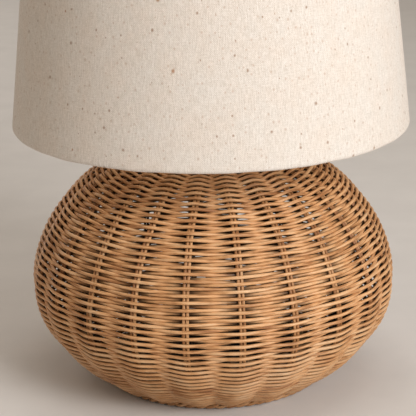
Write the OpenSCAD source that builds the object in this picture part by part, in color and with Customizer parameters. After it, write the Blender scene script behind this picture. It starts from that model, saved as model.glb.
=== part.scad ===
// Table lamp: a squat round base of woven rattan under a tapered drum shade of linen.
// Millimetres, +Z up. The origin is the middle of the face that the lamp stands on.
// The switch looks to the front, -Y, and the lead would leave at the back, +Y.

/* [Woven base] */
// Diameter of the woven base at its widest
base_d = 320; // [300:5:340]
// Height of the widest ring above the table
belly_z = 87; // [84:1:92]
// Radius of the round side of the base, seen in section
belly_arc = 77; // [72:1:80]
// Angle above level at which the side turns into the flatter shoulder
shoulder_turn = 10.5; // [8:0.5:14]
// Radius of the shoulder, seen in section
shoulder_arc = 127; // [122:1:132]
// Angle below level at which the side turns into the under side
foot_turn = 33.5; // [30:0.5:36]
// Radius of the under side, seen in section
foot_arc = 128; // [126:1:132]
// Thickness of one weaver of rattan core
weaver_d = 3.2; // [2.8:0.1:3.6]
// Diameter of one stake rod
stake_d = 2.8; // [2.4:0.1:3.2]
// Number of stakes, each a pair of rods
stake_pairs = 22; // [18:2:26]

/* [Shade] */
// Diameter of the shade at its bottom edge
shade_bottom_d = 340; // [330:5:360]
// Diameter of the shade at its top edge
shade_top_d = 290; // [270:5:310]
// Height of the shade
shade_h = 220; // [210:5:240]
// Gap between the top of the woven base and the bottom edge of the shade
shade_lift = 22; // [20:1:30]
// Thickness of the linen
cloth_t = 0.8; // [0.5:0.1:1]
// Diameter of the rolled edge, which goes round the ring
edge_d = 6; // [5.5:0.5:8]

/* [Fittings] */
// Outer diameter of the threaded lamp pipe
pipe_d = 10; // [9.5:0.1:10.5]
// Diameter of the brass cap on top of the base
cap_d = 100; // [96:2:110]
// Width inside the loop of the harp
harp_w = 100; // [96:2:110]
// Diameter of the harp wire
harp_wire_d = 3.8; // [3:0.2:4]
// Diameter of the lamp bulb
bulb_d = 60; // [55:1:62]
// Bore of the bush that the lead goes in through
inlet_d = 7.6; // [7:0.2:8.4]

/* [Hidden] */
$fn = 96;

gap = 0.1;            // room left between two pieces that only touch
fit = 0.08;           // radial room of a shaft that turns in its bore
over = 1;             // how far a cutter runs past what it cuts

// The woven wall in section: three arcs that run into each other, about these centres.
belly_c = [base_d / 2 - belly_arc, belly_z];
shoulder_c = belly_c + (belly_arc - shoulder_arc) * [cos(shoulder_turn), sin(shoulder_turn)];
foot_c = belly_c + (belly_arc - foot_arc) * [cos(foot_turn), -sin(foot_turn)];
body_top = shoulder_c[1] + shoulder_arc;
foot_r = foot_c[0] + sqrt(foot_arc * foot_arc - foot_c[1] * foot_c[1]);
arc_step = 4;         // degrees between two points of an arc

// Borders that finish the weave.
foot_border_r = 4;
foot_border_ring = foot_r + 1.1;
foot_border_z = foot_border_r + 1;
foot_stop = asin((foot_c[1] - foot_border_z) / foot_arc) + 1.3;
top_border_r = 2.6;
top_border_ring = 39.8;
weave_top_r = top_border_ring + top_border_r + 1.2;

// Stakes lie just inside the weavers.
stake_in = weaver_d + stake_d / 2 + gap;
stake_pitch = stake_d + 0.2;
stake_top_r = 35;
stake_foot_stop = foot_stop - 2.2;
stake_step = 8;       // degrees between two bends of a stake

// Bottom of the lamp.
felt_t = 2.5;
board_z = felt_t + gap;
board_t = 12;
board_r = foot_r - 6.4;
board_pocket_r = 19;
board_pocket = 6.4;
weight_z = board_z + board_t + gap;
weight_t = 12;
weight_r = board_r - 20;
pipe_r = pipe_d / 2;
pipe_hole_r = pipe_r + 0.2;
pipe_bore_r = pipe_r - 1.4;
nut_af = 17;
nut_t = 4;
washer_t = 1.2;
pipe_z = 3.2;

// Bush for the lead: its flange just clears the wall above it.
bush_z = 32;
bush_r = 5.6;
bush_flange_r = 8;
bush_flange_t = 2.5;
bush_flange_y = foot_c[0] + gap
    + sqrt(foot_arc * foot_arc - pow(foot_c[1] - bush_z - bush_flange_r, 2));
bush_len = 26;
bush_y = bush_flange_y - bush_len;

// Top of the woven base.
disc_t = 9;
disc_top = shoulder_c[1] + shoulder_arc - stake_in - stake_d / 2 - 0.4;
disc_r = 40;
cap_seat = body_top - stake_in + stake_d / 2 + gap + 2 * top_border_r + gap;
cap_sheet = 1.4;
cap_rise = 6;
neck_z = cap_seat + cap_rise;
neck_h = 12;
saddle_z = neck_z + neck_h + gap;
saddle_t = 1.8;
saddle_w = 12;

// Socket.
socket_z = saddle_z + saddle_t + gap;
socket_cap_r = 17.3;
socket_cap_h = 16;
socket_shell_r = 16.1;
socket_shell_z = socket_z + 10;
socket_shell_h = 52;
socket_sheet = 0.8;
body_z = socket_z + 12;
body_h = 24;
screw_z = body_z + body_h + gap;
screw_h = 24;
screw_r = 13.15;
pipe_top = socket_z + 8;
switch_z = body_z + 14;
stem_r = 2.5;

// Bulb.
bulb_cap_r = screw_r - 0.1;
bulb_z = screw_z + 1.9;
bulb_cap_z = 3.7;
bulb_cap_h = 24;
cap_wall = 1.8;
bulb_r = bulb_d / 2;
bulb_centre_z = bulb_z + 39 + bulb_r;
glass_t = 0.9;

// Harp and finial.
harp_foot_x = 26;
post_r = 2.2;
arm_top = saddle_z + 8;
post_top = arm_top + 10;
sleeve_h = 16;
sleeve_r = 4;
sleeve_travel = 16;
harp_straight_z = arm_top + sleeve_h + sleeve_travel + 2;
harp_wire_r = harp_wire_d / 2;
harp_half = harp_w / 2 + harp_wire_r;
harp_flare = 50;
harp_arc = (harp_half - harp_foot_x) / (1 - cos(harp_flare)) / 2;
harp_top_arc = 42;

// Shade.
shade_z = body_top + shade_lift;
shade_top = shade_z + shade_h;
edge_r = edge_d / 2;
ring_r = 1.8;
hub_z = shade_top - 16;
hub_t = 2;
hub_r = 11;
stud_r = 3.1;
stud_seat_t = 3;
stud_seat_z = hub_z - gap - stud_seat_t;
harp_top_z = stud_seat_z - gap - harp_wire_r;
liner_t = 1;
cloth_leg = 6;
spoke_r = 1.6;
spoke_turns = [90, 210, 330];
finial_z = hub_z + hub_t + gap;
finial_h = 27;

function shade_r(z) = (shade_bottom_d - (shade_bottom_d - shade_top_d) * (z - shade_z) / shade_h) / 2;
function on_arc(c, r, a) = [c[0] + r * cos(a), c[1] + r * sin(a)];
function steps(a, b, step = arc_step) =
    let (n = ceil(abs(b - a) / step)) [for (i = [0:n]) a + (b - a) * i / n];
function backwards(v) = [for (i = [len(v) - 1:-1:0]) v[i]];

// The wall's section from foot to top, moved inwards by `inset`.
function wall_line(inset, foot_angle, top_r, step = arc_step) =
    let (top_angle = acos((top_r - shoulder_c[0]) / (shoulder_arc - inset)))
    concat(
        [for (a = steps(-foot_angle, -foot_turn, step)) on_arc(foot_c, foot_arc - inset, a)],
        [for (a = steps(-foot_turn + step, shoulder_turn, step)) on_arc(belly_c, belly_arc - inset, a)],
        [for (a = steps(shoulder_turn + step, top_angle, step))
            on_arc(shoulder_c, shoulder_arc - inset, a)]
    );

// A round bar along points that lie in the XZ plane.
module bent_bar(path, r, sides = 10) {
    last = len(path) - 1;
    function along(i) = path[min(i + 1, last)] - path[max(i - 1, 0)];
    function across(i) = [along(i)[1], -along(i)[0]] / norm(along(i));
    points = [for (i = [0:last], k = [0:sides - 1])
        let (a = 360 * k / sides, n = across(i))
        [path[i][0] + r * cos(a) * n[0], r * sin(a), path[i][1] + r * cos(a) * n[1]]];
    walls = [for (i = [0:last - 1], k = [0:sides - 1])
        let (j = (k + 1) % sides)
        [i * sides + j, i * sides + k, (i + 1) * sides + k, (i + 1) * sides + j]];
    ends = [
        [for (k = [0:sides - 1]) k],
        [for (k = [sides - 1:-1:0]) last * sides + k],
    ];
    polyhedron(points = points, faces = concat(walls, ends), convexity = 6);
}

module tube(r_out, r_in, h) {
    difference() {
        cylinder(r = r_out, h = h);
        translate([0, 0, -over]) cylinder(r = r_in, h = h + 2 * over);
    }
}

module hex_nut(across_flats, h, r_in) {
    difference() {
        cylinder(r = across_flats / 2 / cos(30), h = h, $fn = 6);
        translate([0, 0, -over]) cylinder(r = r_in, h = h + 2 * over);
    }
}

// ---- Woven base ----

// The weavers, as the closed skin that they make, with a hole for the bush.
module woven_body() {
    outer = wall_line(0, foot_stop, weave_top_r);
    inner = wall_line(weaver_d, foot_stop, weave_top_r);
    color("#be8755")
    difference() {
        rotate_extrude() polygon(concat(outer, backwards(inner)));
        translate([0, bush_y, bush_z]) rotate([-90, 0, 0])
            translate([0, 0, -over]) cylinder(r = bush_r + gap, h = bush_len + 2 * over);
    }
}

// Upright rods that the weavers go round, two to a stake, bent to the wall's shape.
module weave_stakes() {
    outer = wall_line(stake_in - stake_d / 2, stake_foot_stop, stake_top_r, stake_step);
    inner = wall_line(stake_in + stake_d / 2, stake_foot_stop, stake_top_r, stake_step);
    color("#8f5f36")
    for (i = [0:stake_pairs - 1], side = [-1, 1])
        rotate([0, 0, 90 + (i + 0.5) * 360 / stake_pairs])
            translate([0, side * stake_pitch / 2 + stake_d / 2, 0]) rotate([90, 0, 0])
                linear_extrude(stake_d) polygon(concat(outer, backwards(inner)));
}

module foot_border() {
    color("#9a6a3d")
    rotate_extrude() translate([foot_border_ring, foot_border_z]) circle(r = foot_border_r);
}

module top_border() {
    color("#9a6a3d")
    translate([0, 0, cap_seat - gap - top_border_r])
        rotate_extrude() translate([top_border_ring, 0]) circle(r = top_border_r);
}

// ---- Inside and under the base ----

module base_board() {
    color("#c9a878")
    translate([0, 0, board_z])
        difference() {
            cylinder(r = board_r, h = board_t);
            translate([0, 0, -over]) cylinder(r = pipe_hole_r, h = board_t + 2 * over);
            translate([0, 0, -over]) cylinder(r = board_pocket_r, h = board_pocket + over);
        }
}

module felt_base() {
    color("#4d4a45")
    tube(board_r - 1, board_pocket_r + 3, felt_t);
}

module weight_disc() {
    color("#3b3b3d")
    translate([0, 0, weight_z]) tube(weight_r, pipe_hole_r, weight_t);
}

// Lined hole for the lead, at the back.
module cord_bush() {
    color("#b08d4f")
    translate([0, bush_y, bush_z]) rotate([-90, 0, 0])
        difference() {
            union() {
                cylinder(r = bush_r, h = bush_len + bush_flange_t);
                translate([0, 0, bush_len]) cylinder(r = bush_flange_r, h = bush_flange_t);
            }
            translate([0, 0, -over])
                cylinder(r = inlet_d / 2, h = bush_len + bush_flange_t + 2 * over);
        }
}

module lamp_pipe() {
    color("#b9bcc0")
    translate([0, 0, pipe_z]) tube(pipe_r, pipe_bore_r, pipe_top - pipe_z);
}

module bottom_washer() {
    color("#b9bcc0")
    translate([0, 0, board_z + board_pocket - gap - washer_t]) tube(15, pipe_hole_r, washer_t);
}

module bottom_nut() {
    color("#b9bcc0")
    translate([0, 0, board_z + board_pocket - 2 * gap - washer_t - nut_t])
        hex_nut(nut_af, nut_t, pipe_r + gap / 2);
}

module top_disc() {
    color("#c9a878")
    translate([0, 0, disc_top - disc_t]) tube(disc_r, pipe_hole_r, disc_t);
}

module top_nut() {
    color("#b9bcc0")
    translate([0, 0, disc_top - disc_t - gap - nut_t]) hex_nut(nut_af, nut_t, pipe_r + gap / 2);
}

// ---- Brass above the base ----

// Spun brass cap: flat on top, a curved shoulder and a turned-down rim.
module vase_cap() {
    rim_z = body_top - 0.4;
    flat_r = 14;
    flat_z = neck_z - gap;
    crown = [for (i = [0:10])
        let (s = i / 10)
        [flat_r + (cap_d / 2 - flat_r) * s, flat_z - (flat_z - cap_seat - cap_sheet) * (1 - pow(1 - s, 2))]];
    under = [for (i = [0:10])
        let (s = i / 10)
        [flat_r + (cap_d / 2 - cap_sheet - flat_r) * s,
         flat_z - cap_sheet - (flat_z - cap_seat - cap_sheet) * (1 - pow(1 - s, 2))]];
    color("#b08d4f")
    rotate_extrude()
        polygon(concat(
            [[pipe_hole_r, flat_z]], crown,
            [[cap_d / 2, rim_z], [cap_d / 2 - cap_sheet, rim_z]],
            backwards(under), [[pipe_hole_r, flat_z - cap_sheet]]));
}

// Turned brass spool between the cap and the harp's saddle.
module neck_spool() {
    waist = [for (a = steps(-75, 75)) [10.5 - 3 * cos(a), neck_h / 2 + 4.2 * sin(a) / sin(75)]];
    color("#b08d4f")
    translate([0, 0, neck_z])
        rotate_extrude()
            polygon(concat([[pipe_hole_r, 0], [12, 0], [12, 1.4]], waist,
                [[12, neck_h - 1.4], [12, neck_h], [pipe_hole_r, neck_h]]));
}

// U-shaped bracket with a post at each end for the harp.
module harp_saddle() {
    color("#a98a50")
    difference() {
        union() {
            translate([-harp_foot_x - saddle_t / 2, -saddle_w / 2, saddle_z])
                cube([2 * harp_foot_x + saddle_t, saddle_w, saddle_t]);
            for (side = [-1, 1]) {
                translate([side * harp_foot_x - saddle_t / 2, -saddle_w / 2, saddle_z])
                    cube([saddle_t, saddle_w, arm_top - saddle_z]);
                translate([side * harp_foot_x, 0, arm_top - 4])
                    cylinder(r = post_r, h = post_top - arm_top + 4);
            }
        }
        translate([0, 0, saddle_z - over]) cylinder(r = pipe_hole_r, h = saddle_t + 2 * over);
    }
}

function harp_side() =
    let (
        out_c = [harp_foot_x + harp_arc, harp_straight_z],
        in_c = out_c + 2 * harp_arc * [-cos(harp_flare), sin(harp_flare)],
        top_c = [harp_half - harp_top_arc, harp_top_z - harp_top_arc]
    )
    concat(
        [[harp_foot_x, post_top + gap]],
        [for (a = steps(180, 180 - harp_flare)) on_arc(out_c, harp_arc, a)],
        [for (a = steps(-harp_flare + arc_step, 0)) on_arc(in_c, harp_arc, a)],
        [for (a = steps(0, 90)) on_arc(top_c, harp_top_arc, a)]
    );

// Wire loop that carries the shade over the bulb.
module harp_loop() {
    right = harp_side();
    left = [for (p = backwards(right)) [-p[0], p[1]]];
    color("#a98a50")
    bent_bar(concat(right, left), harp_wire_r);
}

// Threaded stud on top of the harp, with the seat that the shade rests on.
module harp_stud() {
    color("#a98a50")
    union() {
        translate([0, 0, stud_seat_z]) cylinder(r = 6, h = stud_seat_t);
        translate([0, 0, stud_seat_z]) cylinder(r = stud_r, h = finial_z + 14 - stud_seat_z);
    }
}

module harp_sleeve(side) {
    color("#b08d4f")
    translate([side * harp_foot_x, 0, arm_top + gap]) tube(sleeve_r, post_r + 0.25, sleeve_h);
}

module harp_sleeve_left() { harp_sleeve(-1); }

module harp_sleeve_right() { harp_sleeve(1); }

// ---- Socket and switch ----

module switch_hole(r) {
    translate([0, 0, switch_z]) rotate([90, 0, 0]) cylinder(r = r, h = socket_cap_r + over);
}

module socket_cap() {
    color("#b08d4f")
    translate([0, 0, socket_z])
        rotate_extrude()
            polygon([
                [pipe_r + gap, 0], [13, 0], [socket_cap_r, 6], [socket_cap_r, socket_cap_h],
                [socket_shell_r + gap, socket_cap_h], [socket_shell_r + gap, 6.6],
                [12.4, 1.2], [pipe_r + gap, 1.2],
            ]);
}

module socket_shell() {
    color("#b08d4f")
    difference() {
        translate([0, 0, socket_shell_z])
            tube(socket_shell_r, socket_shell_r - socket_sheet, socket_shell_h);
        switch_hole(stem_r + 0.6);
    }
}

// Paper lining of the shell.
module socket_sleeve() {
    color("#d8cfb8")
    difference() {
        translate([0, 0, socket_shell_z + 1])
            tube(socket_shell_r - socket_sheet - gap, socket_shell_r - socket_sheet - gap - 0.8,
                socket_shell_h - 1.5);
        switch_hole(stem_r + 0.6);
    }
}

// Moulded block that holds the switch and the contacts.
module socket_body() {
    color("#26221f")
    difference() {
        translate([0, 0, body_z]) cylinder(r = socket_shell_r - socket_sheet - 1.1, h = body_h);
        translate([0, -5, switch_z]) rotate([90, 0, 0])
            cylinder(r = stem_r + fit, h = socket_shell_r);
    }
}

module screw_shell() {
    color("#c7cacd")
    translate([0, 0, screw_z]) tube(screw_r + 0.6, screw_r, screw_h);
}

module centre_contact() {
    color("#b08d4f")
    translate([0, 0, screw_z]) cylinder(r = 3, h = 1.4);
}

// Turn knob with a flat grip, on its stem.
module switch_knob() {
    knob_y = socket_shell_r + 1.2;
    color("#1f1c1a")
    translate([0, 0, switch_z]) rotate([90, 0, 0]) {
        translate([0, 0, 5.4]) cylinder(r = stem_r, h = knob_y - 5);
        difference() {
            translate([0, 0, knob_y]) cylinder(r1 = 6.5, r2 = 5.6, h = 15);
            for (side = [-1, 1])
                translate([side * 7 - 4.5, -10, knob_y + 4]) cube([9, 20, 20]);
        }
    }
}

// ---- Bulb ----

module bulb_contact() {
    color("#c7cacd")
    translate([0, 0, bulb_z - 0.3]) cylinder(r = 3.4, h = 1.2);
}

module bulb_insulator() {
    color("#1c1a18")
    translate([0, 0, bulb_z + 1]) cylinder(r1 = 4.4, r2 = bulb_cap_r - 0.8, h = 2.6);
}

// Screw cap: rolled thread drawn as rounded rings.
module bulb_cap() {
    turns = 5;
    pitch = 3.6;
    thread = [for (i = [0:turns * 8])
        [bulb_cap_r - 0.6 * (1 - cos(i * 45)) / 2, 3 + i * pitch / 8]];
    color("#c7cacd")
    translate([0, 0, bulb_z + bulb_cap_z])
        rotate_extrude()
            polygon(concat(
                [[bulb_cap_r - cap_wall, 0], [bulb_cap_r - 0.8, 0], [bulb_cap_r - 0.2, 1.5]], thread,
                [[bulb_cap_r, bulb_cap_h], [bulb_cap_r - cap_wall, bulb_cap_h]]));
}

// The glass in section: a ball that runs down into a neck, which sits in the cap.
function glass_line(inset) =
    let (
        c = [0, bulb_centre_z],
        r = bulb_r - inset,
        cheek = on_arc(c, r, -40),
        neck_r = bulb_cap_r - cap_wall - 0.05 - inset,
        cap_top = bulb_z + bulb_cap_z + bulb_cap_h
    )
    concat(
        [for (a = steps(89.9, -40)) on_arc(c, r, a)],
        [cheek + [-0.36, -0.43] * (cheek[0] - neck_r),
         cheek + [-0.66, -0.86] * (cheek[0] - neck_r),
         [neck_r + 0.9, cap_top + 2.5],
         [neck_r, cap_top + gap],
         [neck_r, cap_top - 9]]
    );

module bulb_glass() {
    outer = glass_line(0);
    inner = glass_line(glass_t);
    color("#f4efe6")
    rotate_extrude()
        polygon(concat([[0, bulb_centre_z + bulb_r]], outer, backwards(inner),
            [[0, bulb_centre_z + bulb_r - glass_t]]));
}

// ---- Shade ----

module spider_hub() {
    color("#b08d4f")
    translate([0, 0, hub_z]) tube(hub_r, stud_r + fit, hub_t);
}

// Three wires from the hub out and up to the top ring.
module spider_spokes() {
    mid_z = hub_z + hub_t / 2;
    ring_z = shade_top - edge_r;
    end_r = shade_r(ring_z) - edge_r - ring_r - 0.9;
    bend = 12;
    path = concat(
        [[hub_r + gap, mid_z]],
        [for (a = steps(-90, -40)) on_arc([end_r - bend - 6, mid_z + bend], bend, a)],
        [[end_r, ring_z]]
    );
    color("#a98a50")
    for (turn = spoke_turns) rotate([0, 0, turn]) bent_bar(path, spoke_r);
}

module shade_ring(z) {
    color("#d9d6cf")
    translate([0, 0, z])
        rotate_extrude() translate([shade_r(z) - edge_r, 0]) circle(r = ring_r);
}

module shade_top_ring() { shade_ring(shade_top - edge_r); }

module shade_bottom_ring() { shade_ring(shade_z + edge_r); }

// Stiff lining that the linen is laminated to.
module shade_liner() {
    low = shade_z + edge_r + ring_r + 0.5;
    high = shade_top - edge_r - ring_r - 0.5;
    outer = cloth_t + gap;
    inner = outer + liner_t;
    color("#efe6d6")
    rotate_extrude()
        polygon([
            [shade_r(low) - inner, low], [shade_r(low) - outer, low],
            [shade_r(high) - outer, high], [shade_r(high) - inner, high],
        ]);
}

// The linen's section: up inside, round the bottom ring, up the outside and over the top ring.
function linen_line(inset) =
    let (
        low = [shade_r(shade_z + edge_r) - edge_r, shade_z + edge_r],
        high = [shade_r(shade_top - edge_r) - edge_r, shade_top - edge_r],
        r = edge_r - inset
    )
    concat(
        [low + [-r, cloth_leg]],
        [for (a = steps(-180, 0)) on_arc(low, r, a)],
        [for (a = steps(0, 180)) on_arc(high, r, a)],
        [high + [-r, -cloth_leg]]
    );

// The linen, slit where its turned-in edge passes the spider's wires.
module shade_fabric() {
    ring_z = shade_top - edge_r;
    slit_w = 2 * spoke_r + 0.6;
    color("#e5d5c5")
    difference() {
        rotate_extrude() polygon(concat(linen_line(0), backwards(linen_line(cloth_t))));
        for (turn = spoke_turns) rotate([0, 0, turn])
            translate([shade_r(ring_z) - 2 * edge_r - over, -slit_w / 2, ring_z - cloth_leg - over])
                cube([over + 2 * cloth_t, slit_w, cloth_leg + over + spoke_r]);
    }
}

// Lapped edge where the linen's two ends meet, at the back.
module shade_seam() {
    low = shade_z + edge_r;
    high = shade_top - edge_r;
    lap = 4;
    color("#d9c8b4")
    rotate([0, 0, 90 - lap / 2])
        rotate_extrude(angle = lap)
            polygon([
                [shade_r(low) + gap, low], [shade_r(low) + gap + cloth_t, low],
                [shade_r(high) + gap + cloth_t, high], [shade_r(high) + gap, high],
            ]);
}

// Turned brass finial: foot, waist, bead and ball, tapped from below.
module finial() {
    ball_r = 8.5;
    ball_c = [0, finial_h - ball_r];
    color("#b08d4f")
    translate([0, 0, finial_z])
        difference() {
            rotate_extrude()
                polygon(concat(
                    [[0, 0], [8, 0], [8, 1.6], [6.4, 2.6], [5.4, 4.4], [5.2, 6.4], [6.2, 7.4],
                     [6.2, 8.6], [5, 9.6]],
                    [for (a = steps(-50, 89.9)) on_arc(ball_c, ball_r, a)],
                    [[0, finial_h]]));
            translate([0, 0, -over]) cylinder(r = stud_r + fit, h = 15.5 + over);
        }
}

woven_body();
weave_stakes();
foot_border();
top_border();
base_board();
felt_base();
weight_disc();
cord_bush();
lamp_pipe();
bottom_washer();
bottom_nut();
top_disc();
top_nut();
vase_cap();
neck_spool();
harp_saddle();
harp_loop();
harp_stud();
harp_sleeve_left();
harp_sleeve_right();
socket_cap();
socket_shell();
socket_sleeve();
socket_body();
screw_shell();
centre_contact();
switch_knob();
bulb_contact();
bulb_insulator();
bulb_cap();
bulb_glass();
spider_hub();
spider_spokes();
shade_top_ring();
shade_bottom_ring();
shade_liner();
shade_fabric();
shade_seam();
finial();
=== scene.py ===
"""Table lamp: a round base woven from rattan core under a tapered drum shade of cotton linen.

Builds the lamp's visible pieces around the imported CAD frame: the weave, the cloth, the brass
and the bulb. Metres, +Z up, the switch to the front at -Y.
"""

import math  # noqa: E402

import bmesh  # noqa: E402
import bpy  # noqa: E402
import numpy as np  # noqa: E402
from bpy.props import FloatProperty, FloatVectorProperty, IntProperty, PointerProperty  # noqa: E402
from mathutils import Matrix, Vector  # noqa: E402


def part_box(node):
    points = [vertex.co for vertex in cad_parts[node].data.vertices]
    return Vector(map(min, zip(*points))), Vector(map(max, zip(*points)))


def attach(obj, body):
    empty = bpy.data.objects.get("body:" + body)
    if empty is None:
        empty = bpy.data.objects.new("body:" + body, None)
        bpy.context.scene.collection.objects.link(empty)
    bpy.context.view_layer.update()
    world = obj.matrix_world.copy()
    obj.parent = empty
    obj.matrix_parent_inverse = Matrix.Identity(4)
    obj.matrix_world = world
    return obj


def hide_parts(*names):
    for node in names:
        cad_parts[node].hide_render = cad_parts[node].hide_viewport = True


bl_info = {
    "name": "Woven table lamp",
    "version": (1, 0, 0),
    "blender": (4, 5, 0),
    "location": "View3D > Sidebar > Lamp",
    "description": "Builds a table lamp with a woven rattan base and a linen shade",
    "category": "Add Mesh",
}

MM = 0.001
TURN = 2 * math.pi

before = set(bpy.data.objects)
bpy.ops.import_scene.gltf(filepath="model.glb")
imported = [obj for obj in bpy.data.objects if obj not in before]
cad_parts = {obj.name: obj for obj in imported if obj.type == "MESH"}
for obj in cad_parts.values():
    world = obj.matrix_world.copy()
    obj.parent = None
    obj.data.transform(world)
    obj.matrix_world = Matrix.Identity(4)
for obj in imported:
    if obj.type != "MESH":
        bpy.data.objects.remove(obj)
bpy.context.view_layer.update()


def low(node):
    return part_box(node)[0]


def high(node):
    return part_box(node)[1]


def radius_of(node):
    return (high(node).x - low(node).x) / 2


def mid_height(node):
    return (low(node).z + high(node).z) / 2


def ring_centre(node):
    """Radius and height of the middle of a ring's wire."""
    return radius_of(node) - (high(node).z - low(node).z) / 2, mid_height(node)


def srgb(code):
    """A hex colour such as "#be8755" as linear red, green, blue and alpha."""
    parts = [int(code[i : i + 2], 16) / 255 for i in (1, 3, 5)]
    return (*(p / 12.92 if p <= 0.04045 else ((p + 0.055) / 1.055) ** 2.4 for p in parts), 1.0)


# ---- Sizes and colours that a user would change ----


def length(name, text, size):
    return FloatProperty(name=name, description=text, default=size, unit="LENGTH")


def turn(name, text, degrees):
    return FloatProperty(name=name, description=text, default=math.radians(degrees), unit="ROTATION")


def colour(name, text, code):
    return FloatVectorProperty(
        name=name, description=text, subtype="COLOR", size=4, min=0, max=1, default=srgb(code))


class LampWeave(bpy.types.PropertyGroup):
    """Sizes of the woven base"""

    base_radius: length("Base radius", "Radius of the base at its widest", radius_of("woven_body"))
    belly_height: length("Belly height", "Height of the widest ring", 87 * MM)
    belly_arc: length("Belly arc", "Radius of the round side in section", 77 * MM)
    shoulder_arc: length("Shoulder arc", "Radius of the shoulder in section", 127 * MM)
    shoulder_turn: turn("Shoulder turn", "Where the side turns into the shoulder", 10.5)
    foot_arc: length("Foot arc", "Radius of the under side in section", 128 * MM)
    foot_turn: turn("Foot turn", "Where the side turns into the under side", 33.5)
    foot_hollow: length("Foot hollow", "How far the weave is drawn in under the belly", 1.5 * MM)
    weaver_radius: length("Weaver radius", "Radius of the core that goes round", 1.5 * MM)
    stake_radius: length("Stake radius", "Radius of one upright rod", 1.4 * MM)
    row_pitch: length("Row pitch", "Distance from one row to the next", 2.88 * MM)
    strand_length: length("Strand length", "Length of one piece of core, before the next", 2.4)
    stake_pairs: IntProperty(
        name="Stakes", description="Number of upright pairs, which has to be even", default=22)
    seed: IntProperty(name="Seed", description="Seed of the natural unevenness", default=7)


class LampShade(bpy.types.PropertyGroup):
    """Sizes of the shade"""

    cloth: length("Cloth", "Thickness of the linen", 0.6 * MM)
    turn_in: length("Turn-in", "Cloth turned in past each ring", 6 * MM)
    lap: length("Lap", "How far the cloth laps over itself at the back", 12 * MM)
    edge_radius: length("Edge radius", "Radius of the rolled edge", 3 * MM)


class LampColours(bpy.types.PropertyGroup):
    """Colours of the lamp's materials"""

    rattan_light: colour("Light rattan", "The palest strands of core", "#e3bb90")
    rattan_mid: colour("Rattan", "The usual colour of the core", "#d9a471")
    rattan_dark: colour("Dark rattan", "The brownest strands of core", "#9b673e")
    linen: colour("Linen", "Unbleached cotton linen", "#ded8d2")
    fleck: colour("Fleck", "Bits of husk spun into the linen", "#8d6a4e")
    floor: colour("Floor", "The floor that the lamp is shown on", "#dedbd9")


# ---- Node helpers ----


def add(tree, kind, inputs=None, output=0, stops=(), **settings):
    """Adds a node and returns one of its outputs. inputs maps an input's name or place to a value
    or to the socket it takes. stops are a colour ramp's (position, grey or colour) pairs."""
    node = tree.nodes.new(kind if "Node" in kind else "ShaderNode" + kind)
    for key, value in settings.items():
        setattr(node, key, value)
    for key, value in (inputs or {}).items():
        socket = node.inputs[key]
        if isinstance(value, bpy.types.NodeSocket):
            tree.links.new(value, socket)
        else:
            socket.default_value = value
    if stops:
        elements = node.color_ramp.elements
        while len(elements) < len(stops):
            elements.new(0.5)
        for element, (position, shade) in zip(elements, stops):
            element.position = position
            element.color = shade if hasattr(shade, "__len__") else (shade, shade, shade, 1)
    return node.outputs[output]


def new_material(name, **sockets):
    """A Principled material with those sockets set; returns the material, tree and shader."""
    made = bpy.data.materials.new(name)
    made.use_nodes = True
    shader = made.node_tree.nodes["Principled BSDF"]
    for key, value in sockets.items():
        shader.inputs[key.replace("_", " ")].default_value = value
    return made, made.node_tree, shader


def coats(tree, base, *layers, blend="MIX"):
    """A base colour under layers, each given as the share that it covers and its colour."""
    for share, shade in layers:
        base = add(tree, "Mix", {0: share, 6: base, 7: shade}, 2, data_type="RGBA", blend_type=blend)
    return base


def finish_surface(tree, shader, base, height=None, strength=0.0, depth=0.0, roughness=None):
    """Wires a material: its colour, a bump `depth` metres deep, and where it varies its roughness."""
    tree.links.new(base, shader.inputs["Base Color"])
    if roughness is not None:
        tree.links.new(roughness, shader.inputs["Roughness"])
    if height is not None:
        bumped = add(tree, "Bump", {"Height": height, "Strength": strength, "Distance": depth}, "Normal")
        tree.links.new(bumped, shader.inputs["Normal"])


def object_noise(tree, grain, detail=4.0, stretch=(1, 1, 1)):
    """Noise on Object coordinates whose blotches are about `grain` metres across."""
    place = add(tree, "TexCoord", output="Object")
    scaled = add(tree, "Mapping", {"Vector": place, "Scale": stretch})
    return add(tree, "TexNoise", {"Vector": scaled, "Scale": 1 / grain, "Detail": detail}, "Fac")


# ---- Materials ----


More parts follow.
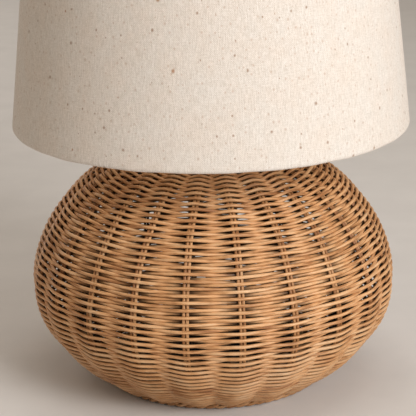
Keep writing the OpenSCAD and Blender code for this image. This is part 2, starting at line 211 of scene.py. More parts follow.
def rattan_core(name):
    """Peeled rattan core under a thin clear lacquer: honey rods, each its own shade, with brown
    blotches and fine fibres along the rod, and a soft sheen on top."""
    made, tree, shader = new_material(name, Roughness=0.42, Specular_IOR_Level=0.45)
    paint = bpy.context.scene.lamp_colours
    tone, along, strand, front = (add(tree, "Attribute", output="Fac", attribute_name=given)
                                  for given in ("tone", "along", "strand", "front"))
    around = add(tree, "Attribute", output="Vector", attribute_name="around")

    # One unit of this place is 25 mm along the rod and 0.3 mm round it.
    lengthwise = add(tree, "CombineXYZ", {2: add(tree, "Math", {0: along, 1: 40.0}, operation="MULTIPLY")})
    place = add(tree, "VectorMath", {0: around, 1: (5.0, 5.0, 0.0), 2: lengthwise},
                operation="MULTIPLY_ADD")

    def marks(finer, apart, detail, roughness=0.5):
        """Marks drawn out along the rod, unlike on each strand."""
        scaled = add(tree, "VectorMath", {0: place, 1: finer}, operation="MULTIPLY")
        start = add(tree, "Math", {0: strand, 1: apart}, operation="MULTIPLY")
        return add(tree, "TexNoise", {"Vector": scaled, "W": start, "Scale": 1.0, "Detail": detail,
                                      "Roughness": roughness}, "Fac", noise_dimensions="4D")

    fibre = marks((1, 1, 1), 50.0, 5.0, 0.62)
    # Streaks a millimetre wide and some 12 mm long, which show at a few metres.
    streak = marks((0.36, 0.36, 2.1), 31.0, 3.0, 0.55)
    # Open pores: thin dark dashes about 0.5 mm wide and 8 mm long.
    pore = marks((0.7, 0.7, 3.2), 71.0, 1.0)
    # Each rod wanders between pale and brown over 30 to 60 mm.
    wander = add(tree, "Math", {0: along, 1: 26.0}, operation="MULTIPLY")
    wander = add(tree, "Math", {0: strand, 1: 90.0, 2: wander}, operation="MULTIPLY_ADD")
    patch = add(tree, "TexNoise", {"W": wander, "Scale": 1.0, "Detail": 3.0}, "Fac",
                noise_dimensions="1D")

    weights = ((patch, 0.95), (fibre, 0.6), (streak, 1.6))
    middle = sum(weight for _, weight in weights) / 2
    level = add(tree, "Math", {0: tone, 1: middle}, operation="SUBTRACT")
    for noise, weight in weights:
        level = add(tree, "Math", {0: noise, 1: weight, 2: level}, operation="MULTIPLY_ADD")
    base = add(tree, "ValToRGB", {0: level}, stops=(
        (0.12, tuple(paint.rattan_dark)), (0.5, tuple(paint.rattan_mid)),
        (0.88, tuple(paint.rattan_light))))
    stain = add(tree, "ValToRGB", {0: object_noise(tree, 9 * MM, 3.0)}, stops=((0.56, 0.0), (0.74, 0.5)))
    dash = add(tree, "ValToRGB", {0: pore}, stops=((0.56, 0.0), (0.66, 0.42)))

    # Painted shade: the side of each rod that faces into the base, and each rod where it passes behind a
    # stake, is drawn near black, so that the gaps in the weave read dark.
    here = add(tree, "TexCoord", output="Object")
    facet = add(tree, "TexCoord", output="Normal")
    squash = 1.6
    belly = (0, 0, -squash * bpy.context.scene.lamp_weave.belly_height)
    outward = add(tree, "VectorMath", {0: here, 1: (1, 1, squash), 2: belly}, operation="MULTIPLY_ADD")
    outward = add(tree, "VectorMath", {0: outward}, operation="NORMALIZE")
    facing = add(tree, "VectorMath", {0: outward, 1: facet}, "Value", operation="DOT_PRODUCT")
    painted_shade = []
    for value, stops in ((facing, ((0.2, 0.94), (0.46, 0.36), (0.7, 0.0))),
                         (front, ((0.04, 0.84), (0.24, 0.0)))):
        positive = add(tree, "Math", {0: value, 1: 0.5, 2: 0.5}, operation="MULTIPLY_ADD")
        painted_shade.append(add(tree, "ValToRGB", {0: positive}, stops=stops))
    # Painted shade: the lowest 95 mm are drawn browner, most at the bottom.
    height = add(tree, "Math", {0: add(tree, "SeparateXYZ", {0: here}, 2), 1: 95 * MM}, operation="DIVIDE")
    low_painted_shade = add(tree, "ValToRGB", {0: height}, stops=((0.2, 0.34), (1.0, 0.0)))
    # Over the rattan go brown blotches and dark pores, then painted shade: near black inside and behind
    # the stakes, and brown over the lowest rows.
    shade = coats(tree, base, (stain, srgb("#ad7f53")), (dash, srgb("#82552f")),
                  (painted_shade[0], srgb("#2c1a0e")), (painted_shade[1], srgb("#2c1a0e")),
                  (low_painted_shade, srgb("#70461f")))
    rough = add(tree, "ValToRGB", {0: fibre}, stops=((0.3, 0.38), (0.7, 0.58)))
    finish_surface(tree, shader, shade, fibre, 0.35, 0.35 * MM, rough)
    return made


def cotton_linen(name):
    """Plain-woven unbleached cotton linen: uneven threads a little under a millimetre apart,
    thicker slubs that run mostly upright, and small brown bits of husk. It has no gloss.
    The threads are drawn about 1.1 mm apart, so that they still show at a few metres."""
    made, tree, shader = new_material(name, Roughness=0.95, Specular_IOR_Level=0.15,
                                      Sheen_Weight=0.12, Sheen_Roughness=0.5)
    paint = bpy.context.scene.lamp_colours
    cloth = add(tree, "UVMap", output="UV", uv_map="cloth")  # metres on the cloth

    def threads(across, run, detail):
        """Noise drawn out into threads, of those sizes along u and v."""
        scaled = add(tree, "Mapping", {"Vector": cloth, "Scale": (1 / across, 1 / run, 1)})
        return add(tree, "TexNoise", {"Vector": scaled, "Scale": 1.0, "Detail": detail,
                                      "Roughness": 0.6}, "Fac", noise_dimensions="2D")

    def flecks(cell, size, share, strength):
        """Specks no larger than `size`, one to a cell at most, in `share` of the cells."""
        scaled = add(tree, "Mapping", {"Vector": cloth, "Scale": (1 / cell, 0.8 / cell, 1)})
        spots = add(tree, "TexVoronoi", {"Vector": scaled, "Scale": 1.0}, "Color",
                    voronoi_dimensions="2D").node
        pick = add(tree, "SeparateColor", {0: spots.outputs["Color"]}).node
        reach = add(tree, "Math", {0: pick.outputs[1], 1: size / cell}, operation="MULTIPLY")
        away = add(tree, "Math", {0: spots.outputs["Distance"], 1: reach}, operation="DIVIDE")
        inside = add(tree, "Math", {0: 1.0, 1: away}, operation="SUBTRACT")
        soft = add(tree, "Clamp", {0: add(tree, "Math", {0: inside, 1: 1.5}, operation="MULTIPLY")})
        chosen = add(tree, "Math", {0: pick.outputs[0], 1: share}, operation="LESS_THAN")
        shown = add(tree, "Math", {0: soft, 1: chosen}, operation="MULTIPLY")
        return add(tree, "Math", {0: shown, 1: strength}, operation="MULTIPLY")

    warp = threads(1.0 * MM, 6.5 * MM, 2.0)
    weft = threads(5 * MM, 1.0 * MM, 2.0)
    slub = threads(1.8 * MM, 18 * MM, 3.0)
    fuzz = threads(1.1 * MM, 1.3 * MM, 3.0)
    cloud = threads(22 * MM, 30 * MM, 4.0)
    weave = add(tree, "Math", {0: weft, 1: 0.24}, operation="MULTIPLY")
    for noise, weight in ((warp, 0.42), (fuzz, 0.34)):
        weave = add(tree, "Math", {0: noise, 1: weight, 2: weave}, operation="MULTIPLY_ADD")

    tints = [(1.0, add(tree, "ValToRGB", {0: noise}, stops=((at, dark), (1 - at, pale))))
             for noise, at, dark, pale in (
                 (weave, 0.38, (0.86, 0.84, 0.81, 1), (1.07, 1.07, 1.07, 1)),
                 (slub, 0.3, 0.97, 1.02),
                 (cloud, 0.3, (1.0, 0.965, 0.94, 1), (1.0, 1.0, 1.0, 1)))]
    base = coats(tree, tuple(paint.linen), *tints, blend="MULTIPLY")
    base = coats(tree, base, (flecks(5 * MM, 1.25 * MM, 0.6, 0.4), srgb("#b08f78")),
                 (flecks(12 * MM, 1.5 * MM, 0.42, 0.7), tuple(paint.fleck)),
                 (flecks(42 * MM, 2.5 * MM, 0.45, 0.8), srgb("#a0714a")))

    # Plain weave: every thread goes over and under the next, 0.8 mm apart both ways.
    waves = [add(tree, "Math", {0: add(tree, "Math", {
        0: add(tree, "SeparateXYZ", {0: cloth}, axis), 1: math.pi / (0.8 * MM)}, operation="MULTIPLY")},
        operation="SINE") for axis in (0, 1)]
    crossing = add(tree, "Math", {0: waves[0], 1: waves[1]}, operation="MULTIPLY")
    height = add(tree, "Math", {0: crossing, 1: 0.22, 2: weave}, operation="MULTIPLY_ADD")
    height = add(tree, "Math", {0: slub, 1: 0.5, 2: height}, operation="MULTIPLY_ADD")
    finish_surface(tree, shader, base, height, 0.55, 0.5 * MM)
    return made


def worn_metal(name, code, roughness, patina="#5d4526"):
    """A metal under thin lacquer: brushed marks in the roughness, and a darker bloom in places."""
    made, tree, shader = new_material(name, Metallic=1.0)
    marks = object_noise(tree, 0.9 * MM, 3.0)
    bloom = add(tree, "ValToRGB", {0: object_noise(tree, 14 * MM)}, stops=((0.5, 0.0), (0.72, 0.25)))
    rough = add(tree, "ValToRGB", {0: marks}, stops=((0.3, roughness - 0.07), (0.7, roughness + 0.09)))
    base = coats(tree, srgb(code), (bloom, srgb(patina)))
    finish_surface(tree, shader, base, marks, 0.12, 0.1 * MM, rough)
    return made


def moulded(name, code, roughness, speck, cloud_code=None):
    """A moulded or coated surface: an even colour with a fine orange-peel grain."""
    made, tree, shader = new_material(name)
    peel = object_noise(tree, speck, 3.0)
    cloud = object_noise(tree, 12 * MM, 3.0)
    dark = srgb(cloud_code) if cloud_code else tuple(c * 0.86 for c in srgb(code)[:3]) + (1,)
    share = add(tree, "ValToRGB", {0: cloud}, stops=((0.42, 0.0), (0.7, 0.6)))
    rough = add(tree, "ValToRGB", {0: cloud}, stops=((0.3, roughness - 0.05), (0.7, roughness + 0.06)))
    finish_surface(tree, shader, coats(tree, srgb(code), (share, dark)), peel, 0.15, 0.12 * MM, rough)
    return made


def birch_plywood(name):
    """Sanded birch ply: pale, with a grain of long fibres along X and darker late wood."""
    made, tree, shader = new_material(name, Roughness=0.62, Specular_IOR_Level=0.35)
    fibres = object_noise(tree, 1.4 * MM, 5.0, (0.06, 1, 1))
    figure = object_noise(tree, 16 * MM, 3.0, (0.15, 1, 1))
    late = add(tree, "ValToRGB", {0: figure}, stops=((0.35, 0.0), (0.7, 0.8)))
    grain = add(tree, "ValToRGB", {0: fibres}, stops=((0.5, 0.0), (0.75, 0.5)))
    base = coats(tree, srgb("#d9bd90"), (late, srgb("#bd9663")), (grain, srgb("#a27c4b")))
    finish_surface(tree, shader, base, fibres, 0.3, 0.2 * MM)
    return made


def wool_felt(name):
    """Pressed grey-brown wool felt: matted fibres, no gloss, and a little fuzz at the edge."""
    made, tree, shader = new_material(name, Roughness=1.0, Specular_IOR_Level=0.1,
                                      Sheen_Weight=0.35, Sheen_Roughness=0.6)
    fibres = object_noise(tree, 1.1 * MM, 6.0)
    pale = add(tree, "ValToRGB", {0: fibres}, stops=((0.35, 0.0), (0.68, 1.0)))
    cloud = add(tree, "ValToRGB", {0: object_noise(tree, 18 * MM, 3.0)}, stops=((0.4, 0.0), (0.7, 0.35)))
    base = coats(tree, srgb("#4f4a43"), (pale, srgb("#7b7367")), (cloud, srgb("#3d3934")))
    finish_surface(tree, shader, base, fibres, 0.8, 0.8 * MM)
    return made


def frosted_glass(name):
    """A bulb frosted inside: milky, smooth outside, with a faint cloud in the frosting."""
    made, tree, shader = new_material(name, Roughness=0.16, IOR=1.5, Transmission_Weight=0.25,
                                      Coat_Weight=0.3)
    cloud = add(tree, "ValToRGB", {0: object_noise(tree, 15 * MM, 3.0)}, stops=((0.35, 0.0), (0.7, 0.5)))
    finish_surface(tree, shader, coats(tree, srgb("#f7f4ee"), (cloud, srgb("#e9e4da"))))
    return made


def painted_floor(name):
    """A plain pale matt floor."""
    made, tree, shader = new_material(name, Roughness=0.85, Specular_IOR_Level=0.25)
    pale = tuple(bpy.context.scene.lamp_colours.floor)
    soft = (*(c * 0.95 for c in pale[:3]), 1)
    cloud = add(tree, "ValToRGB", {0: object_noise(tree, 60 * MM)}, stops=((0.35, 0.0), (0.7, 1.0)))
    finish_surface(tree, shader, coats(tree, pale, (cloud, soft)))
    return made


# Each slot's maker, material and settings: for metals and mouldings the colour and roughness,
# then a metal's patina, or the size of a moulding's grain and its cloud's colour. The comments
# say what each metal's or moulding's finish gives the eye.
FINISHES = {
    "rattan": (rattan_core, "rattan_core"),
    "rattan_stake": (rattan_core, "rattan_core"),
    "linen": (cotton_linen, "cotton_linen"),
    # Styrene sheet, off-white and half matt, a little yellowed in clouds.
    "shade_liner": (moulded, "white_styrene", "#efe7da", 0.55, 0.8 * MM, "#e6dccb"),
    # Powder coat baked on wire: a dull white with a fine pebbled grain.
    "coated_wire": (moulded, "white_powder_coat", "#e2ded6", 0.45, 0.4 * MM),
    # Spun or turned brass left to darken: a warm brown gold, still glossy.
    "aged_brass": (worn_metal, "aged_brass", "#a9854d", 0.3),
    # Thin brass plate on drawn steel: a paler and duller gold.
    "harp_brass": (worn_metal, "brass_plated_wire", "#b0935f", 0.34),
    # Drawn brass under clear lacquer: bright yellow, with sharp highlights.
    "socket_brass": (worn_metal, "lacquered_brass", "#c29c5a", 0.22),
    # Zinc plate on threaded steel: a cold grey that blurs what it reflects.
    "zinc_steel": (worn_metal, "zinc_plated_steel", "#b4b6b8", 0.36, "#7a7d80"),
    # Rolled aluminium: pale, silvery and smooth, dulled where it was worked.
    "nickel_shell": (worn_metal, "drawn_aluminium", "#c9cacb", 0.3, "#8f9194"),
    # Black paint on rough cast iron: matt, with a coarse sandy grain.
    "weight_iron": (moulded, "painted_cast_iron", "#1d1c1b", 0.85, 1.5 * MM),
    # Pressed phenolic: brown-black, with the gloss of its polished mould.
    "black_phenolic": (moulded, "black_phenolic", "#1c1917", 0.3, 0.5 * MM),
    # Vulcanised fibre: pale buff card, matt and faintly mottled.
    "socket_paper": (moulded, "vulcanised_fibre", "#cfc4aa", 0.8, 0.6 * MM),
    # Black glass fused into the screw cap: very dark, with a wet gloss.
    "black_glass": (moulded, "fused_black_glass", "#141212", 0.12, 2 * MM),
    "frosted_glass": (frosted_glass, "frosted_glass"),
    "plywood": (birch_plywood, "birch_plywood"),
    "felt": (wool_felt, "wool_felt"),
    "floor": (painted_floor, "painted_floor"),
}
STOCK = {}


def paint(mesh, slot):
    """Gives a mesh its slot's material, which is made once."""
    maker, name, *settings = FINISHES[slot]
    if name not in STOCK:
        STOCK[name] = maker(name, *settings)
    mesh.materials.clear()
    mesh.materials.append(STOCK[name])
    return STOCK[name]


# ---- Mesh helpers ----


def finish_mesh(mesh):
    """Smooths a mesh, except over its sharp edges."""
    mesh.shade_smooth()
    mesh.set_sharp_from_angle(angle=math.radians(40))
    mesh.validate()
    mesh.update()
    return mesh


def link(name, data):
    """An object at the origin that holds a mesh, camera or light."""
    made = bpy.data.objects.new(name, data)
    bpy.context.scene.collection.objects.link(made)
    return made


def piece(name, mesh, body, slot, *replaced):
    """Makes a finished mesh a piece of the lamp, which rides on a body."""
    mesh.name = name
    made = link(name, mesh)
    paint(mesh, slot)
    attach(made, body)
    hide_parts(*replaced)
    return made


def mesh_from(points, faces, edges=()):
    mesh = bpy.data.meshes.new("mesh")
    mesh.from_pydata([tuple(p) for p in points], list(edges), faces)
    return mesh


def apply_modifiers(made):
    """Puts an object's modifiers into its mesh and removes them."""
    graph = bpy.context.evaluated_depsgraph_get()
    mesh = bpy.data.meshes.new_from_object(made.evaluated_get(graph), depsgraph=graph)
    made.modifiers.clear()
    made.data = mesh
    return mesh


def join(meshes):
    """One mesh from several."""
    work = bmesh.new()
    for mesh in meshes:
        work.from_mesh(mesh)
    made = bpy.data.meshes.new("mesh")
    work.to_mesh(made)
    work.free()
    return finish_mesh(made)


def placed(points, r, z):
    """Offsets in millimetres from a radius and a height, as points in metres."""
    return [(r + aside * MM, z + up * MM) for aside, up in points]


def arc_points(centre, radius, start, end, count):
    """Points on an arc, angles in degrees."""
    angles = [math.radians(start + (end - start) * i / count) for i in range(count + 1)]
    return [(centre[0] + radius * math.cos(a), centre[1] + radius * math.sin(a)) for a in angles]


def stacked(r, z0, z1, step):
    """An upright line of points, about `step` apart."""
    count = max(2, int((z1 - z0) / step))
    return [(r, z0 + (z1 - z0) * i / count) for i in range(count + 1)]


def fillet(outline, radius, steps=3):
    """The closed outline with each corner rounded, by at most `radius`."""
    made = []
    nearly_straight = math.radians(172)
    for i, corner in enumerate(outline):
        here = Vector(corner)
        back = Vector(outline[i - 1]) - here
        on = Vector(outline[(i + 1) % len(outline)]) - here
        between = back.angle(on, math.pi)
        if here.x < 1e-9 or between > nearly_straight:
            made.append(tuple(here))
            continue
        reach = min(radius / max(math.tan(between / 2), 1e-3), 0.45 * back.length, 0.45 * on.length)
        start = here + back.normalized() * reach
        end = here + on.normalized() * reach
        for t in (k / steps for k in range(steps + 1)):
            made.append(tuple((1 - t) ** 2 * start + 2 * t * (1 - t) * here + t * t * end))
    return made


def lathe(outline, segments=96, place=None, shape=None):
    """Turns a closed outline of (radius, height) round Z. Points on the axis close as poles.
    place is a matrix for the result, and shape(radius, height, angle) may reshape a point."""
    rings, points = [], []
    for r, z in outline:
        if r < 1e-7:
            rings.append([len(points)] * segments)
            points.append((0, 0, z))
            continue
        rings.append(list(range(len(points), len(points) + segments)))
        for k in range(segments):
            angle = TURN * k / segments
            rr, zz = shape(r, z, angle) if shape else (r, z)
            points.append((rr * math.cos(angle), rr * math.sin(angle), zz))
    faces = []
    for a, b in zip(rings, rings[1:] + rings[:1]):
        for k in range(segments):
            j = (k + 1) % segments
            corners = [a[k], a[j], b[j], b[k]]
            kept = [c for i, c in enumerate(corners) if c != corners[i - 1]]
            if len(kept) > 2:
                faces.append(kept)
    area = sum(p[0] * q[1] - q[0] * p[1] for p, q in zip(outline, outline[1:] + outline[:1]))
    mesh = mesh_from(points, faces if area > 0 else [face[::-1] for face in faces])
    if place is not None:
        mesh.transform(place)
    return finish_mesh(mesh)


# ---- Rods: a Geometry Nodes tree that turns lines into round bars ----


def rod_tree():
    """Lines in, round bars out. Each line point's radius, tone and distance along its rod come
    from attributes; the bar also gets `around`, its place on the round section."""
    if "Round rods" in bpy.data.node_groups:
        return bpy.data.node_groups["Round rods"]
    tree = bpy.data.node_groups.new("Round rods", "GeometryNodeTree")
    for name, kind in (("Geometry", "Geometry"), ("Sides", "Int"), ("Unevenness", "Float"),
                       ("Seed", "Float"), ("Material", "Material")):
        tree.interface.new_socket(name, in_out="INPUT", socket_type="NodeSocket" + kind)
    tree.interface.new_socket("Geometry", in_out="OUTPUT", socket_type="NodeSocketGeometry")
    given = tree.nodes.new("NodeGroupInput").outputs

    radius, along, strand = (
        add(tree, "GeometryNodeInputNamedAttribute", {"Name": name}, data_type="FLOAT")
        for name in ("radius", "along", "strand"))
    phase = add(tree, "Math", {0: strand, 1: 37.0, 2: given["Seed"]}, operation="MULTIPLY_ADD")
    where = add(tree, "Math", {0: along, 1: 45.0, 2: phase}, operation="MULTIPLY_ADD")
    noise = add(tree, "TexNoise", {"W": where, "Scale": 1.0, "Detail": 2.0}, "Fac", noise_dimensions="1D")
    centred = add(tree, "Math", {0: noise, 1: 0.5}, operation="SUBTRACT")
    swell = add(tree, "Math", {0: centred, 1: given["Unevenness"], 2: 1.0}, operation="MULTIPLY_ADD")
    scale = add(tree, "Math", {0: radius, 1: swell}, operation="MULTIPLY")

    section = add(tree, "GeometryNodeCurvePrimitiveCircle", {"Resolution": given["Sides"], "Radius": 1.0})
    kept = tree.nodes.new("GeometryNodeCaptureAttribute")
    kept.capture_items.new("VECTOR", "around")
    tree.links.new(section, kept.inputs["Geometry"])
    tree.links.new(add(tree, "GeometryNodeInputPosition"), kept.inputs["around"])
    made = add(tree, "GeometryNodeMeshToCurve", {0: given["Geometry"]})
    made = add(tree, "GeometryNodeCurveToMesh",
               {"Curve": made, "Profile Curve": kept.outputs["Geometry"], "Scale": scale,
                "Fill Caps": True})
    made = add(tree, "GeometryNodeStoreNamedAttribute",
               {"Geometry": made, "Name": "around", "Value": kept.outputs["around"]},
               data_type="FLOAT_VECTOR", domain="POINT")
    made = add(tree, "GeometryNodeSetShadeSmooth", {0: made, "Shade Smooth": True})
    made = add(tree, "GeometryNodeRealizeInstances", {0: made})
    made = add(tree, "GeometryNodeSetMaterial", {0: made, "Material": given["Material"]})
    tree.links.new(made, tree.nodes.new("NodeGroupOutput").inputs[0])
    return tree


def rods(name, lines, body, slot, *replaced, sides=8, unevenness=0.0, seed=0.0):
    """A piece of round bars. Each line is a dict of its points and radius, and may have a tone, a
    strand number and front, which says how far it lies in front of the stakes, from -1 to 1."""
    usual = {"tone": 0.5, "strand": 0.0, "front": 1.0}
    points, edges = [], []
    values = {key: [] for key in ("radius", "along", *usual)}
    for line in lines:
        path = np.asarray(line["points"], float)
        edges.extend((len(points) + i, len(points) + i + 1) for i in range(len(path) - 1))
        points.extend(path.tolist())
        steps = np.linalg.norm(np.diff(path, axis=0), axis=1)
        given = {**usual, **line, "along": np.concatenate([[0.0], np.cumsum(steps)])}
        for key, listed in values.items():
            listed.extend(np.broadcast_to(given[key], len(path)))
    mesh = mesh_from(points, [], edges)
    for key, listed in values.items():
        attribute = mesh.attributes.new(key, "FLOAT", "POINT")
        attribute.data.foreach_set("value", np.asarray(listed, np.float32))
    source = link(name + "_line", mesh)
    modifier = source.modifiers.new("rods", "NODES")
    modifier.node_group = rod_tree()
    wanted = {"Sides": sides, "Unevenness": unevenness, "Seed": seed, "Material": paint(mesh, slot)}
    for item in modifier.node_group.interface.items_tree:
        if item.in_out == "INPUT" and item.name in wanted:
            modifier[item.identifier] = wanted[item.name]
    made = apply_modifiers(source)
    bpy.data.objects.remove(source)
    return piece(name, made, body, slot, *replaced)


# ---- The weave ----


class Wall:
    """The woven wall in section: three arcs, measured by distance up from the foot."""

    def __init__(self, weave):
        belly = np.array([weave.base_radius - weave.belly_arc, weave.belly_height])
        up, down = weave.shoulder_turn, weave.foot_turn
        shoulder = belly + (weave.belly_arc - weave.shoulder_arc) * np.array([math.cos(up), math.sin(up)])
        foot = belly + (weave.belly_arc - weave.foot_arc) * np.array([math.cos(down), -math.sin(down)])
        foot_stop = math.asin(min(1, (foot[1] - low("woven_body").z) / weave.foot_arc))
        top_r = radius_of("top_border") + 1.3 * MM
        top_stop = math.acos((top_r - shoulder[0]) / weave.shoulder_arc)
        self.arcs = [(foot, weave.foot_arc, -foot_stop, -down),
                     (belly, weave.belly_arc, -down, up),
                     (shoulder, weave.shoulder_arc, up, top_stop)]
        self.length = sum(r * (b - a) for _, r, a, b in self.arcs)
        self.belly_s = weave.foot_arc * (foot_stop - down) + weave.belly_arc * down
        self.hollow = weave.foot_hollow

    def at(self, s):
        """(radius, height) and outward direction of the outer surface at distances s."""
        s = np.asarray(s, float)
        place = np.zeros((len(s), 2))
        out = np.zeros((len(s), 2))
        start = 0.0
        for i, (centre, radius, a, b) in enumerate(self.arcs):
            end = start + radius * (b - a)
            last = i == len(self.arcs) - 1
            here = (s >= start if i else s > -1) & ((s < end) | last)
            angle = a + (s[here] - start) / radius
            out[here] = np.stack([np.cos(angle), np.sin(angle)], 1)
            place[here] = centre + radius * out[here]
            start = end
        drawn_in = self.hollow * np.sin(math.pi * np.clip(s / self.belly_s, 0, 1))
        return place - out * drawn_in[:, None], out

    def height_to_s(self, z):
        grid = np.linspace(0, self.length, 2000)
        return float(np.interp(z, self.at(grid)[0][:, 1], grid))


def wavy(x, y, seed):
    """Smooth unevenness from a few waves, about -1 to 1; the same seed gives the same surface."""
    rng = np.random.default_rng(seed)
    total = np.zeros_like(x)
    for _ in range(7):
        fx = rng.integers(2, 12)
        fy = rng.uniform(10, 70)
        total += np.sin(fx * x + fy * y + rng.uniform(0, TURN))
    return total / 3


def weave_depth(weave):
    """Half the distance between a weaver in front of a stake and one behind it."""
    return weave.weaver_radius + weave.stake_radius + 0.1 * MM


def part_round_bush(weave, wall, angle, s, r):
    """Rows above and below the bush for the lead move apart to let it through."""
    hole = radius_of("cord_bush") * 0.75 + weave.weaver_radius
    s_bush = wall.height_to_s(mid_height("cord_bush"))
    across = np.abs((angle - TURN / 4 + math.pi) % TURN - math.pi) * r
    clear = np.sqrt(np.clip(hole**2 - (across * 0.8) ** 2, 0, None))
    off = s - s_bush
    fade = np.clip(1 - (np.abs(off) - hole) / (26 * MM), 0, 1)
    return s_bush + np.where(off < 0, -1, 1) * np.sqrt(off**2 + clear**2 * fade)


def weaver_lines(weave, wall, which, per_stake=9):
    """The strands of one of the two weavers that chase each other up the wall. Each strand ends
    behind a stake, where the next one is let in."""
    rng = np.random.default_rng(weave.seed + 100 * which)
    stakes = weave.stake_pairs
    pitch, rod, depth = weave.row_pitch, weave.weaver_radius, weave_depth(weave)
    first = pitch * (0.55 + which)
    turns = (wall.length - pitch * 1.1 - first) / (2 * pitch) + 1
    count = int(turns * stakes * per_stake)
    column = np.arange(count) / per_stake
    angle = TURN * (column + 0.5) / stakes + TURN / 4
    # The first turn lies level on the border, tapered, and the second one climbs off it.
    taper = np.clip(0.25 + 0.75 * column / stakes, 0, 1)
    s = np.maximum(first + 2 * pitch * (column / stakes - 1), 0.5 * pitch)
    place, _ = wall.at(s)
    # Rows wander together, and each one a little on its own.
    s = s + 0.55 * MM * wavy(angle % TURN, s, weave.seed) * np.clip(s / (12 * MM), 0, 1)
    wander_length = 2.3  # stakes
    knots = np.arange(0, column[-1] + 2, wander_length)
    s = s + 0.12 * MM * np.interp(column, knots, rng.normal(0, 1, len(knots)))
    s = part_round_bush(weave, wall, angle, s, place[:, 0])
    s = np.clip(s, pitch * 0.5, wall.length - pitch * 0.4)
    place, out = wall.at(s)
    # Between two stakes the core runs almost straight, and it bends where it passes them.
    straightness = 0.93
    wave = np.cos(math.pi * column) * (-1) ** which
    wave = np.arcsin(straightness * wave) / math.asin(straightness)
    shallow = 1 - 0.28 * np.clip(1 - s / (70 * MM), 0, 1)
    inset = rod + depth * shallow * (1 - wave) + depth * (1 - shallow)
    radius, height = (place - out * inset[:, None]).T
    points = np.stack([radius * np.cos(angle), radius * np.sin(angle), height], 1)

    walked = np.concatenate([[0], np.cumsum(np.linalg.norm(np.diff(points, axis=0), axis=1))])
    # Only these points lie behind a stake. A strand passes at least four stakes, and a scrap that
    # would pass fewer than eight stays on the strand before it.
    behind = [k for k in range(0, count - 1, per_stake) if wave[k] < -0.9]
    shortest, scrap = 4 * per_stake, 8 * per_stake
    lines, begin = [], 0
    while begin < count - 1:
        reach = walked[begin] + weave.strand_length * rng.uniform(0.7, 1.25)
        least = max(int(np.searchsorted(walked, reach)) // per_stake * per_stake,
                    begin + shortest + 1)
        end = next((k for k in behind if k >= least), count - 1) + 1
        if count - end < scrap:
            end = count
        lines.append({
            "points": points[begin:end + 1],
            "radius": rod * rng.uniform(0.93, 1.04) * taper[begin:end + 1],
            "tone": float(np.clip(rng.normal(0.5, 0.1), 0.2, 0.8)),
            "front": wave[begin:end + 1],
            "strand": float(rng.uniform(0, 1)),
        })
        begin = end - 1 if end < count else count
    return lines


class LAMP_OT_weavers(bpy.types.Operator):
    """Weave the base from two weavers of rattan core"""

    bl_idname = "lamp.weavers"
    bl_label = "Weavers"

    def execute(self, context):
        weave = context.scene.lamp_weave
        if weave.stake_pairs % 2:
            raise ValueError("two weavers that chase each other need an even number of stakes")
        wall = Wall(weave)
        for which, name in enumerate(("weaver_first", "weaver_second")):
            rods(name, weaver_lines(weave, wall, which), "base", "rattan", "woven_body",
                 unevenness=0.16, seed=11.0 * which)
        return {"FINISHED"}


class LAMP_OT_stakes(bpy.types.Operator):
    """Set the upright rods, two to a stake"""

    bl_idname = "lamp.stakes"
    bl_label = "Stakes"

    def execute(self, context):
        weave = context.scene.lamp_weave
        wall = Wall(weave)
        rng = np.random.default_rng(weave.seed + 5)
        s = np.linspace(3 * MM, wall.length + 8 * MM, 84)
        place, out = wall.at(s)
        radius, height = (place - out * (weave.weaver_radius + weave_depth(weave))).T
        lines = []
        for k in range(weave.stake_pairs):
            angle = TURN * (k + 0.5) / weave.stake_pairs - TURN / 4
            lean = 0.6 * MM * np.interp(s, np.linspace(0, s[-1], 7), rng.normal(0, 1, 7))
            for side in (-1, 1):
                aside = side * (weave.stake_radius + 0.08 * MM) + lean
                lines.append({
                    "points": np.stack([
                        radius * math.cos(angle) - aside * math.sin(angle),
                        radius * math.sin(angle) + aside * math.cos(angle), height], 1),
                    "radius": weave.stake_radius * rng.uniform(0.94, 1.03),
                    "tone": float(np.clip(rng.normal(0.28, 0.12), 0.05, 0.8)),
                    "strand": float(rng.uniform(0, 1)),
                })
        rods("stake_rods", lines, "base", "rattan_stake", "weave_stakes", unevenness=0.12)
        return {"FINISHED"}


def rope_ring(node, strands, lay, rng):
    """Lines of a ring rolled from several rods, that fill a CAD ring's box."""
    ring, middle = ring_centre(node)
    section = high(node).z - middle
    rod = section / (1 + 1 / math.sin(math.pi / strands))
    off = section - rod
    t = np.linspace(0, TURN, 24 * lay + 1)
    lines = []
    for k in range(strands):
        twist = lay * t + TURN * k / strands
        radius = ring + off * np.cos(twist)
        lines.append({
            "points": np.stack([radius * np.cos(t), radius * np.sin(t), middle + off * np.sin(twist)], 1),
            "radius": rod, "tone": float(rng.uniform(0.35, 0.65)), "strand": float(rng.uniform(0, 1))})
    return lines


class LAMP_OT_borders(bpy.types.Operator):
    """Roll the borders that finish the weave at the foot and under the cap"""

    bl_idname = "lamp.borders"
    bl_label = "Borders"

    def execute(self, context):
        rng = np.random.default_rng(context.scene.lamp_weave.seed + 9)
        for name, node, lay in (("foot_braid", "foot_border", 24), ("top_braid", "top_border", 16)):
            rods(name, rope_ring(node, 3, lay, rng), "base", "rattan", node, unevenness=0.08)
        return {"FINISHED"}


# ---- The shade ----


def cone_radius(shade, z):
    """Radius of the outside of the cloth at a height."""
    (r0, z0), (r1, z1) = ring_centre("shade_bottom_ring"), ring_centre("shade_top_ring")
    return r0 + (r1 - r0) * (z - z0) / (z1 - z0) + shade.edge_radius


LEG_STEPS = 4
ROLL_STEPS = 12


